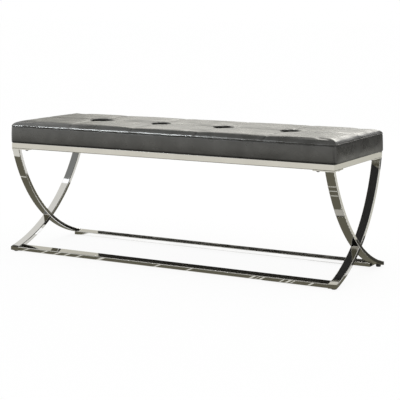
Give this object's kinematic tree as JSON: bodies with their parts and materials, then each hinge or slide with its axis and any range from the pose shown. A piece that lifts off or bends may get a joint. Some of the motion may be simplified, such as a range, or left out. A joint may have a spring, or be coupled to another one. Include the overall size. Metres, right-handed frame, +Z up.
{
  "type": "bench",
  "caption": "Padded bench with a tufted black leather-look seat on a polished chrome base of crossed, curved legs joined by flat floor rails.",
  "frame": {"origin": "on the floor under the middle of the seat", "axes": "+X along the seat to the right, +Y from front to back, +Z up"},
  "size_m": [1.2258, 0.4, 0.4544],
  "materials": {
    "chrome": "polished",
    "black_leather": "satin",
    "foam": "matte",
    "plywood": "matte",
    "dark_steel": "satin",
    "zinc_steel": "satin",
    "black_nylon": "satin",
    "dust_cloth": "matte",
    "twine": "matte"
  },
  "bodies": {
    "root": {"dust_cover": "dust_cloth", "floor_rail_end_plates": "chrome", "foot_end_plates": "chrome", "front_floor_rail": "chrome", "front_left_glide": "black_nylon", "front_left_leg_plate": "chrome", "front_right_glide": "black_nylon", "front_right_leg_plate": "chrome", "front_top_rail": "chrome", "left_long_leg": "chrome", "left_lower_half_leg": "chrome", "left_top_rail": "chrome", "left_upper_half_leg": "chrome", "leg_plate_bolts": "dark_steel", "leg_plate_washers": "dark_steel", "rear_floor_rail": "chrome", "rear_left_glide": "black_nylon", "rear_left_leg_plate": "chrome", "rear_right_glide": "black_nylon", "rear_right_leg_plate": "chrome", "rear_top_rail": "chrome", "right_long_leg": "chrome", "right_lower_half_leg": "chrome", "right_top_rail": "chrome", "right_upper_half_leg": "chrome", "seat_board": "plywood", "seat_foam": "foam", "seat_side_cover": "black_leather", "seat_top_cover": "black_leather", "tee_nuts": "zinc_steel", "tuft_anchors": "black_nylon", "tuft_buttons": "black_leather", "tuft_ties": "twine"}
  },
  "joints": []
}
